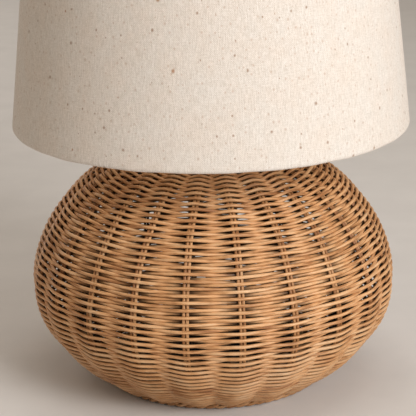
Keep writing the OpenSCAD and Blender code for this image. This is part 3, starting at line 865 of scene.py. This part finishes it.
def shade_section(shade):
    """The cloth's outer line in section, from the bottom turn-in to the top one."""
    bottom, top = ring_centre("shade_bottom_ring"), ring_centre("shade_top_ring")
    slope = math.degrees(math.atan2(bottom[0] - top[0], top[1] - bottom[1]))
    lower = arc_points(bottom, shade.edge_radius, -180 + slope, slope, ROLL_STEPS)
    upper = arc_points(top, shade.edge_radius, slope, 180 + slope, ROLL_STEPS)
    start, end = Vector(lower[-1]), Vector(upper[0])
    wall_steps = 56
    wall = [tuple(start.lerp(end, i / wall_steps)) for i in range(1, wall_steps)]
    leg = (Vector(top) - Vector(bottom)).normalized() * shade.turn_in
    head = [tuple(Vector(lower[0]) + leg * (1 - i / LEG_STEPS)) for i in range(LEG_STEPS)]
    tail = [tuple(Vector(upper[-1]) - leg * (i + 1) / LEG_STEPS) for i in range(LEG_STEPS)]
    return head + lower + wall + upper + tail


def out_of_round(angle, height):
    """How far the shade's wall stands out from a true cone."""
    return 0.14 * MM * (np.sin(5 * angle + 9 * height) + 0.7 * np.sin(11 * angle - 14 * height)
                        + 0.4 * np.sin(23 * angle + 40 * height))


class LAMP_OT_shade_cloth(bpy.types.Operator):
    """Stretch the linen round the shade, turned in over both rings and lapped at the back"""

    bl_idname = "lamp.shade_cloth"
    bl_label = "Shade cloth"

    def execute(self, context):
        shade = context.scene.lamp_shade
        section = np.array(shade_section(shade))
        lengths = np.concatenate([[0], np.cumsum(np.linalg.norm(np.diff(section, axis=0), axis=1))])
        widest = section[:, 0].max()
        lap = shade.lap / widest
        columns = 300
        angle = TURN / 4 - lap / 2 + (TURN + lap) * np.linspace(0, 1, columns + 1)
        start = angle[0]
        # Over the lap the cloth lies on its own other end, and eases down to it beyond.
        from_end = np.clip((angle - (start + TURN - 2.5 * lap)) / (1.5 * lap), 0, 1)
        lift = from_end**2 * (3 - 2 * from_end) * (shade.cloth + 0.1 * MM)
        grid_a, grid_s = np.meshgrid(angle, lengths, indexing="ij")
        # The cloth and liner are a little out of round, and the edge is never quite even.
        sag = 0.28 * MM * np.sin(17 * angle) + 0.2 * MM * np.sin(31 * angle + 1)
        edge = np.exp(-(((lengths - 9 * MM) / (9 * MM)) ** 2))
        radius = section[:, 0] + lift[:, None] + out_of_round(grid_a, section[:, 1]) - 0.1 * MM
        height = section[:, 1] + sag[:, None] * edge * 0.6
        points = np.stack([radius * np.cos(grid_a), radius * np.sin(grid_a), height], 2)
        rows = len(section)
        index = np.arange((columns + 1) * rows).reshape(columns + 1, rows)
        faces = np.stack([index[:-1, :-1], index[1:, :-1], index[1:, 1:], index[:-1, 1:]], 2)
        mesh = mesh_from(points.reshape(-1, 3).tolist(), faces.reshape(-1, 4).tolist())
        # The pattern is laid out in metres, at the width that the cone has on average.
        usual_radius = 0.93 * widest
        spread = np.stack([(grid_a - start) * usual_radius, grid_s], 2).reshape(-1, 2)
        corners = np.zeros(len(mesh.loops), np.int32)
        mesh.loops.foreach_get("vertex_index", corners)
        layer = mesh.uv_layers.new(name="cloth")
        layer.data.foreach_set("uv", spread[corners].astype(np.float32).ravel())
        mesh.shade_smooth()
        made = piece("linen_cover", mesh, "shade", "linen", "shade_fabric", "shade_seam")
        skin = made.modifiers.new("cloth", "SOLIDIFY")
        skin.thickness = shade.cloth
        skin.offset = -1
        skin.use_even_offset = True
        apply_modifiers(made)

        return {"FINISHED"}


class LAMP_OT_shade_frame(bpy.types.Operator):
    """Make the liner, the spider and its wires"""

    bl_idname = "lamp.shade_frame"
    bl_label = "Shade frame"

    def execute(self, context):
        lo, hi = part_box("shade_liner")
        shade = context.scene.lamp_shade
        under = shade.cloth + 0.15 * MM
        sheet = 0.9 * MM
        outside = [(cone_radius(shade, z) - under, z) for z in np.linspace(lo.z, hi.z, 33)]
        inside = [(r - sheet, z) for r, z in reversed(outside)]

        def bowed(r, z, angle):
            return r + out_of_round(angle, z), z

        piece("liner_sheet", lathe(outside + inside, 256, None, bowed), "shade", "shade_liner",
              "shade_liner")

        lo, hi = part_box("spider_hub")
        rim = radius_of("spider_hub")
        bore = radius_of("harp_stud") * 0.5 + 0.18 * MM
        middle = mid_height("spider_hub")
        outline = ([(bore, lo.z), (rim, lo.z), (rim, hi.z)]
                   + placed([(4.2, 0), (3.2, -0.4), (0, -0.4)], bore, hi.z))
        piece("hub_washer", lathe(fillet(outline, 0.4 * MM), 72), "shade", "aged_brass", "spider_hub")

        reach, ring_z = ring_centre("shade_top_ring")
        reach -= 0.5 * MM
        bend = 12 * MM
        start = rim - 0.6 * MM
        profile = ([(start, middle), (start + 20 * MM, middle)]
                   + arc_points((reach - bend - 6 * MM, middle + bend), bend, -90, -40, 8)
                   + [(reach, ring_z)])
        lines = []
        for a in np.radians((90, 210, 330)):
            lines.append({"points": [(r * math.cos(a), r * math.sin(a), z) for r, z in profile],
                          "radius": 1.6 * MM})
        rods("spider_wires", lines, "shade", "harp_brass", "spider_spokes", sides=12)
        return {"FINISHED"}


# ---- Brass fittings and the harp ----


class LAMP_OT_cap_and_neck(bpy.types.Operator):
    """Spin the brass cap and turn the neck above it"""

    bl_idname = "lamp.cap_and_neck"
    bl_label = "Cap and neck"

    def execute(self, context):
        lo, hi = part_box("vase_cap")
        r = radius_of("vase_cap")
        hole = radius_of("lamp_pipe") + 0.2 * MM
        sheet = 1.2 * MM
        flat = 14 * MM
        seat = high("top_border").z + sheet
        crown = [(flat + (r - 1.4 * MM - flat) * t, hi.z - (hi.z - seat) * (1 - (1 - t) ** 2))
                 for t in np.linspace(0, 1, 15)]
        bead = arc_points((r - 1.0 * MM, seat - 0.6 * MM), 1.0 * MM, 70, -60, 6)
        skirt = placed([(-0.5, 0), (-1.5, 0)], r, lo.z)
        under = [(x - 0.6 * MM, z - sheet) for x, z in reversed(crown)]
        outline = [(hole, hi.z)] + crown + bead + skirt + under + [(hole, hi.z - sheet)]
        piece("cap_dome", lathe(outline, 144), "base", "aged_brass", "vase_cap")

        lo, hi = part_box("neck_spool")
        r = radius_of("neck_spool")
        half = (hi.z - lo.z) / 2 - 2.4 * MM
        waist = [(r - 4.2 * MM * math.cos(math.radians(a)), mid_height("neck_spool") + half * a / 80)
                 for a in range(-80, 81, 10)]
        outline = ([(hole, lo.z)] + placed([(-0.3, 0), (0, 0.8), (-0.3, 1.7)], r, lo.z) + waist
                   + placed([(-0.3, -1.7), (0, -0.8), (-0.3, 0)], r, hi.z) + [(hole, hi.z)])
        piece("neck_turning", lathe(fillet(outline, 0.25 * MM, 2)), "base", "aged_brass", "neck_spool")
        return {"FINISHED"}


def strip(path, width, thickness):
    """A flat strip bent along a path in XZ, `width` wide in Y, with its edges rounded."""
    edge = 0.35 * MM
    w, h = width / 2 - edge, thickness / 2 - edge
    outline = [p for x, y, a in ((w, h, 0), (-w, h, 90), (-w, -h, 180), (w, -h, 270))
               for p in arc_points((x, y), edge, a, a + 90, 3)]
    path = [Vector((p[0], 0, p[1])) for p in path]
    points, faces = [], []
    for i, p in enumerate(path):
        along = (path[min(i + 1, len(path) - 1)] - path[max(i - 1, 0)]).normalized()
        normal = Vector((-along.z, 0, along.x))
        points += [p + normal * v + Vector((0, u, 0)) for u, v in outline]
    n = len(outline)
    for i in range(len(path) - 1):
        for k in range(n):
            j = (k + 1) % n
            faces.append([i * n + k, i * n + j, (i + 1) * n + j, (i + 1) * n + k])
    faces.append(list(range(n))[::-1])
    faces.append([(len(path) - 1) * n + k for k in range(n)])
    mesh = mesh_from(points, faces)
    work = bmesh.new()
    work.from_mesh(mesh)
    bmesh.ops.remove_doubles(work, verts=work.verts, dist=1e-7)
    bmesh.ops.recalc_face_normals(work, faces=work.faces)
    work.to_mesh(mesh)
    work.free()
    return finish_mesh(mesh)


class LAMP_OT_harp(bpy.types.Operator):
    """Bend the harp, its saddle and its sleeves"""

    bl_idname = "lamp.harp"
    bl_label = "Harp"

    def execute(self, context):
        # The wire leaves its sleeves, flares out in an S and closes over the bulb.
        lo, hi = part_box("harp_loop")
        wire = (hi.y - lo.y) / 2 * 1.05
        half = (hi.x - lo.x) / 2 - wire
        foot_x = (low("harp_sleeve_right").x + high("harp_sleeve_right").x) / 2
        straight = high("harp_sleeve_right").z + 18 * MM
        flare = 50
        slant = math.radians(flare)
        arc = (half - foot_x) / (1 - math.cos(slant)) / 2
        top_arc = 42 * MM
        out_c = (foot_x + arc, straight)
        in_c = (out_c[0] - 2 * arc * math.cos(slant), out_c[1] + 2 * arc * math.sin(slant))
        side = ([(foot_x, lo.z), (foot_x, (lo.z + straight) / 2)]
                + arc_points(out_c, arc, 180, 180 - flare, 12)
                + arc_points(in_c, arc, -flare, 0, 12)[1:]
                + arc_points((half - top_arc, hi.z - wire - top_arc), top_arc, 0, 90, 20))
        line = [(x, 0, z) for x, z in side] + [(-x, 0, z) for x, z in reversed(side)]
        rods("harp_wire", [{"points": line, "radius": wire}], "base", "harp_brass", "harp_loop", sides=16)

        lo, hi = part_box("harp_saddle")
        sheet = 1.8 * MM
        arm = low("harp_sleeve_right").z - 0.1 * MM
        corner = 3 * MM
        z = lo.z + sheet / 2 + corner
        path = ([(-foot_x, arm), (-foot_x, (arm + z) / 2)]
                + arc_points((corner - foot_x, z), corner, 180, 270, 6)
                + arc_points((foot_x - corner, z), corner, 270, 360, 6)
                + [(foot_x, (arm + z) / 2), (foot_x, arm)])
        post = 2.2 * MM
        peg = ([(0, arm - 4 * MM), (post, arm - 4 * MM)] + placed([(0, -0.6), (-0.5, 0)], post, hi.z)
               + [(0, hi.z)])
        pipe = radius_of("lamp_pipe")
        washer = [(pipe + 0.2 * MM, lo.z + sheet), (pipe + 2.6 * MM, lo.z + sheet),
                  (pipe + 2.6 * MM, lo.z + sheet + 0.08 * MM), (pipe + 0.2 * MM, lo.z + sheet + 0.08 * MM)]
        meshes = [strip(path, hi.y - lo.y, sheet)]
        meshes += [lathe(peg, 32, Matrix.Translation((x, 0, 0))) for x in (-foot_x, foot_x)]
        meshes.append(lathe(fillet(washer, 0.02 * MM), 48))
        piece("saddle_bracket", join(meshes), "base", "harp_brass", "harp_saddle")

        for name, x in (("left", -foot_x), ("right", foot_x)):
            node = "harp_sleeve_" + name
            lo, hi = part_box(node)
            r = radius_of(node)
            bore = r - 1.55 * MM
            heights = np.linspace(lo.z + 3.2 * MM, hi.z - 3.2 * MM, 25)
            grip = [(r - (0.28 * MM if i % 2 else 0.0), z) for i, z in enumerate(heights)]
            outline = ([(bore, lo.z)]
                       + placed([(-0.5, 0), (0, 0.5), (0, 1.9), (-0.5, 2.4)], r, lo.z) + grip
                       + placed([(-0.5, -2.4), (0, -1.9), (0, -0.5), (-0.5, 0)], r, hi.z)
                       + [(bore, hi.z)])
            piece("sleeve_" + name, lathe(outline, 48, Matrix.Translation((x, 0, 0))),
                  name + "_sleeve", "aged_brass", node)
        return {"FINISHED"}


def thread(pitch, depth, start, end):
    """A shape for lathe(): a screw thread cut into the stretch from start to end."""
    def shape(r, z, angle):
        if not start <= z <= end:
            return r, z
        fade = min(1.0, (z - start) / pitch, (end - z) / pitch)
        return r - depth * fade * (0.5 - 0.5 * math.cos(TURN * z / pitch - angle)), z
    return shape


class LAMP_OT_finial(bpy.types.Operator):
    """Turn the finial and cut the thread of the stud under it"""

    bl_idname = "lamp.finial"
    bl_label = "Finial"

    def execute(self, context):
        lo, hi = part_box("finial")
        ball = radius_of("finial")
        outline = (placed([(0, 15.5), (3.18, 15.5), (3.18, 0), (7.6, 0), (8, 0.5), (7.7, 1.6)], 0, lo.z)
                   + arc_points((7.8 * MM, lo.z + 4.2 * MM), 2.4 * MM, 262, 186, 6)
                   + placed([(5.2, 6), (6, 6.8), (6.4, 7.6), (6, 8.4), (5, 9.2), (4.6, 10.2)], 0, lo.z)
                   + arc_points((0, hi.z - ball), ball, -54, 90, 26)[:-1] + [(0, hi.z)])
        piece("finial_ball", lathe(outline), "finial", "aged_brass", "finial")

        lo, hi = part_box("harp_stud")
        r = 3.1 * MM
        seat = low("spider_hub").z - 0.1 * MM
        outline = (placed([(0, 0), (5.6, 0), (6, 0.4)], 0, lo.z)
                   + placed([(6, -0.4), (5.6, 0), (3.1, 0)], 0, seat)
                   + stacked(r, seat + 0.2 * MM, hi.z - 0.7 * MM, 0.16 * MM)
                   + [(r - 0.6 * MM, hi.z), (0, hi.z)])
        cut = thread(0.94 * MM, 0.3 * MM, seat + 2.3 * MM, hi.z)
        piece("stud_thread", lathe(outline, 48, None, cut), "base", "harp_brass", "harp_stud")
        return {"FINISHED"}


# ---- Socket, switch and bulb ----


def sideways(height):
    """Turns a lathe's +Z to -Y and lifts it to a height."""
    return Matrix.Translation((0, 0, height)) @ Matrix.Rotation(math.pi / 2, 4, "X")


def cut_round(mesh, height, radius):
    """A mesh with the switch's hole cut through its front, along Y."""
    near, far = 8 * MM, 30 * MM
    drill = lathe([(0, near), (radius, near), (radius, far), (0, far)], 32, sideways(height))
    body, tool = link("cut_body", mesh), link("cut_tool", drill)
    cut = body.modifiers.new("hole", "BOOLEAN")
    cut.object = tool
    cut.operation = "DIFFERENCE"
    cut.solver = "EXACT"
    made = apply_modifiers(body)
    bpy.data.objects.remove(body)
    bpy.data.objects.remove(tool)
    return finish_mesh(made)


class LAMP_OT_socket(bpy.types.Operator):
    """Draw the socket's brass cap and shell"""

    bl_idname = "lamp.socket"
    bl_label = "Socket"

    def execute(self, context):
        lo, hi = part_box("socket_cap")
        r = radius_of("socket_cap")
        hole = radius_of("lamp_pipe") + 0.1 * MM
        sheet = 0.9 * MM
        inner = radius_of("socket_shell") + 0.1 * MM
        outside = ([(hole, lo.z), (12.6 * MM, lo.z)]
                   + arc_points((12.6 * MM, lo.z + 4.7 * MM), 4.7 * MM, -80, 0, 8)
                   + [(r, hi.z - 4 * MM)]
                   + arc_points((r - 0.45 * MM, hi.z - 3.3 * MM), 0.45 * MM, -60, 60, 4)
                   + placed([(-0.1, -2.4), (0, -0.4), (-0.3, 0)], r, hi.z))
        inside = [(inner, hi.z), (inner, lo.z + 5.6 * MM), (12.2 * MM, lo.z + sheet), (hole, lo.z + sheet)]
        piece("socket_cup", lathe(outside + inside), "base", "socket_brass", "socket_cap")

        lo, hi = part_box("socket_shell")
        r = radius_of("socket_shell")
        bead = 0.45
        wall = r - bead * MM
        beads = []
        for share in (0.42, 0.86):
            swell = [(bead * math.sin(math.radians(a)), a / 90 - 1) for a in range(0, 181, 20)]
            beads += placed([(0, -1.4), *swell, (0, 1.4)], wall, lo.z + (hi.z - lo.z) * share)
        outline = ([(wall, lo.z)] + beads
                   + arc_points((r - 0.6 * MM, hi.z - 0.5 * MM), 0.5 * MM, 0, 180, 6)
                   + [(r - 1.1 * MM, hi.z - 1.2 * MM), (r - 1.1 * MM, lo.z)])
        mesh = cut_round(lathe(outline, 128), mid_height("switch_knob"), 3.1 * MM)
        piece("shell_drawn", mesh, "base", "socket_brass", "socket_shell")
        return {"FINISHED"}


class LAMP_OT_switch(bpy.types.Operator):
    """Mould the turn knob of the switch"""

    bl_idname = "lamp.switch"
    bl_label = "Switch"

    def execute(self, context):
        lo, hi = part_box("switch_knob")
        front, back = -lo.y, -hi.y
        r = (hi.z - lo.z) / 2
        base = front - 15 * MM
        grip = [(r - 0.4 * MM - 0.6 * MM * t, base + 4 * MM + (front - base - 5 * MM) * t)
                for t in np.linspace(0, 1, 13)]
        outline = ([(0, back), (2.5 * MM, back), (2.5 * MM, base - 0.3 * MM)]
                   + placed([(-0.5, -0.3), (0, 0.4)], r, base)
                   + stacked(r, base + 1 * MM, base + 3.4 * MM, 0.5 * MM)
                   + [(r - 0.4 * MM, base + 4 * MM)] + grip
                   + placed([(-1.6, -0.25), (-2.6, 0)], r, front) + [(0, front)])

        def paddle(rr, z, angle):
            """Ribs round the collar, and two flats on the grip in front of it."""
            if z < base + 3.6 * MM:
                ribs = 0.22 * MM * (0.5 + 0.5 * math.cos(24 * angle)) if z > base + 0.6 * MM else 0
                return rr - (ribs if rr > 4 * MM else 0), z
            blend = min(1, (z - base - 3.6 * MM) / (2.4 * MM))
            limit = 2.4 * MM / max(abs(math.cos(angle)), 0.05)
            return rr + (min(rr, limit) - rr) * blend, z

        mesh = lathe(outline, 144, sideways(mid_height("switch_knob")), paddle)
        piece("turn_knob", mesh, "switch", "black_phenolic", "switch_knob")
        return {"FINISHED"}


class LAMP_OT_bulb(bpy.types.Operator):
    """Blow the bulb and roll its screw cap"""

    bl_idname = "lamp.bulb"
    bl_label = "Bulb"

    def execute(self, context):
        lo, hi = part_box("bulb_glass")
        r = radius_of("bulb_glass")
        neck = 11.2 * MM
        middle = hi.z - r
        cheek = -42  # where the ball runs into the neck, in degrees

        def wall(inset):
            """The ball, an eased run down to the neck, and the neck's foot."""
            ball = arc_points((0, middle), r - inset, 90, cheek, 30)[1:]
            a = Vector(ball[-1])
            d = Vector((neck - inset, high("bulb_cap").z + 1 * MM))
            reach = (a - d).length
            b = a + Vector((math.sin(math.radians(cheek)), -math.cos(math.radians(cheek)))) * reach * 0.5
            c = d + Vector((0, reach * 0.42))
            run = [a * (1 - t) ** 3 + b * 3 * (1 - t) ** 2 * t + c * 3 * (1 - t) * t * t + d * t**3
                   for t in (k / 14 for k in range(1, 15))]
            return [(0, middle + r - inset)] + ball + [tuple(p) for p in run] + [(neck - inset, lo.z)]

        piece("bulb_envelope", lathe(wall(0) + wall(0.9 * MM)[::-1]), "bulb", "frosted_glass",
              "bulb_glass")

        lo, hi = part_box("bulb_cap")
        r = radius_of("bulb_cap")
        outline = (placed([(-1.9, 0), (-0.9, 0), (-0.3, 1.2)], r, lo.z)
                   + stacked(r, lo.z + 1.8 * MM, hi.z - 2.2 * MM, 0.45 * MM)
                   + placed([(0, -0.4), (-0.3, 0), (-1.9, 0)], r, hi.z))
        rolled = thread(3.6 * MM, 0.9 * MM, lo.z + 1.7 * MM, hi.z - 2 * MM)
        piece("screw_cap", lathe(outline, 72, None, rolled), "bulb", "nickel_shell", "bulb_cap")
        return {"FINISHED"}


# ---- CAD pieces that keep their own shape ----

KEPT = {
    "plywood": ("base_board", "top_disc"),
    "felt": ("felt_base",),
    "weight_iron": ("weight_disc",),
    "aged_brass": ("cord_bush",),
    "zinc_steel": ("lamp_pipe", "bottom_washer", "bottom_nut", "top_nut"),
    "socket_paper": ("socket_sleeve",),
    "black_phenolic": ("socket_body",),
    "nickel_shell": ("screw_shell", "bulb_contact"),
    "socket_brass": ("centre_contact",),
    "black_glass": ("bulb_insulator",),
    "coated_wire": ("shade_top_ring", "shade_bottom_ring"),
}


class LAMP_OT_fittings(bpy.types.Operator):
    """Give the pieces that keep their CAD shape their real finishes"""

    bl_idname = "lamp.fittings"
    bl_label = "Fittings"

    def execute(self, context):
        for slot, nodes in KEPT.items():
            for node in nodes:
                paint(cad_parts[node].data, slot)
        return {"FINISHED"}


# ---- Stage ----


class LAMP_OT_stage(bpy.types.Operator):
    """Set the floor, the soft lights and the camera"""

    bl_idname = "lamp.stage"
    bl_label = "Stage"

    def execute(self, context):
        scene = context.scene
        away, eye, aim = 1.2, 0.524, 0.1477
        roll = -0.0155
        camera = bpy.data.cameras.new("camera")
        camera.lens = 123.9
        camera.sensor_width = 36
        camera.shift_x = -0.0101
        scene.camera = link("camera", camera)
        scene.camera.location = (0, -away, eye)
        tilt = math.atan2(eye - aim, away)
        turned = Matrix.Rotation(math.pi / 2 - tilt, 3, "X") @ Matrix.Rotation(roll, 3, "Z")
        scene.camera.rotation_euler = turned.to_euler()

        wide = 15
        floor = mesh_from([(-wide, -wide, 0), (wide, -wide, 0), (wide, wide, 0), (-wide, wide, 0)],
                          [[0, 1, 2, 3]])
        paint(floor, "floor")
        link("floor", floor)

        # Each light's name, place, size, power and colour. All of them face the lamp.
        middle = Vector((0, 0, 0.2))
        for name, place, size, power, tint in (
                ("key", (1.3, -1.55, 1.06), 1.0, 41.5, (1.0, 0.985, 0.962)),
                ("fill", (-1.6, -1.0, 1.7), 1.6, 6.0, (1.0, 0.86, 0.7)),
                ("top", (0.3, 0.2, 2.2), 1.6, 9, (1.0, 0.97, 0.93)),
                ("back", (-0.9, 2.0, 1.4), 1.6, 9, (1.0, 0.97, 0.93))):
            light = bpy.data.lights.new(name, "AREA")
            light.shape = "RECTANGLE"
            light.size = light.size_y = size
            light.energy = power
            light.color = tint
            made = link(name, light)
            made.location = place
            made.rotation_euler = (middle - Vector(place)).to_track_quat("-Z", "Y").to_euler()

        scene.world = bpy.data.worlds.new("studio")
        scene.world.use_nodes = True
        back = scene.world.node_tree.nodes["Background"]
        back.inputs["Color"].default_value = srgb("#ebd9c3")
        back.inputs["Strength"].default_value = 0.32
        scene.view_settings.view_transform = "Standard"
        return {"FINISHED"}


# ---- Panel, registration and the run ----


OPERATORS = (
    LAMP_OT_stage, LAMP_OT_weavers, LAMP_OT_stakes, LAMP_OT_borders, LAMP_OT_shade_frame,
    LAMP_OT_shade_cloth, LAMP_OT_cap_and_neck, LAMP_OT_harp, LAMP_OT_finial, LAMP_OT_socket,
    LAMP_OT_switch, LAMP_OT_bulb, LAMP_OT_fittings,
)
GROUPS = {"lamp_weave": LampWeave, "lamp_shade": LampShade, "lamp_colours": LampColours}


class LAMP_PT_panel(bpy.types.Panel):
    """The lamp's pieces, in the order in which they are built"""

    bl_idname = "LAMP_PT_panel"
    bl_label = "Woven table lamp"
    bl_space_type = "VIEW_3D"
    bl_region_type = "UI"
    bl_category = "Lamp"

    def draw(self, context):
        column = self.layout.column(align=True)
        for operator in OPERATORS:
            column.operator(operator.bl_idname)
        for key, kind in GROUPS.items():
            box = self.layout.box()
            for name in kind.__annotations__:
                box.prop(getattr(context.scene, key), name)


def register():
    for made in (*GROUPS.values(), *OPERATORS, LAMP_PT_panel):
        bpy.utils.register_class(made)
    for name, group in GROUPS.items():
        setattr(bpy.types.Scene, name, PointerProperty(type=group))


def unregister():
    for name in GROUPS:
        delattr(bpy.types.Scene, name)
    for made in (LAMP_PT_panel, *reversed(OPERATORS), *reversed(GROUPS.values())):
        bpy.utils.unregister_class(made)


def main():
    register()
    for operator in OPERATORS:
        group, name = operator.bl_idname.split(".")
        getattr(getattr(bpy.ops, group), name)()


if __name__ == "__main__":
    main()
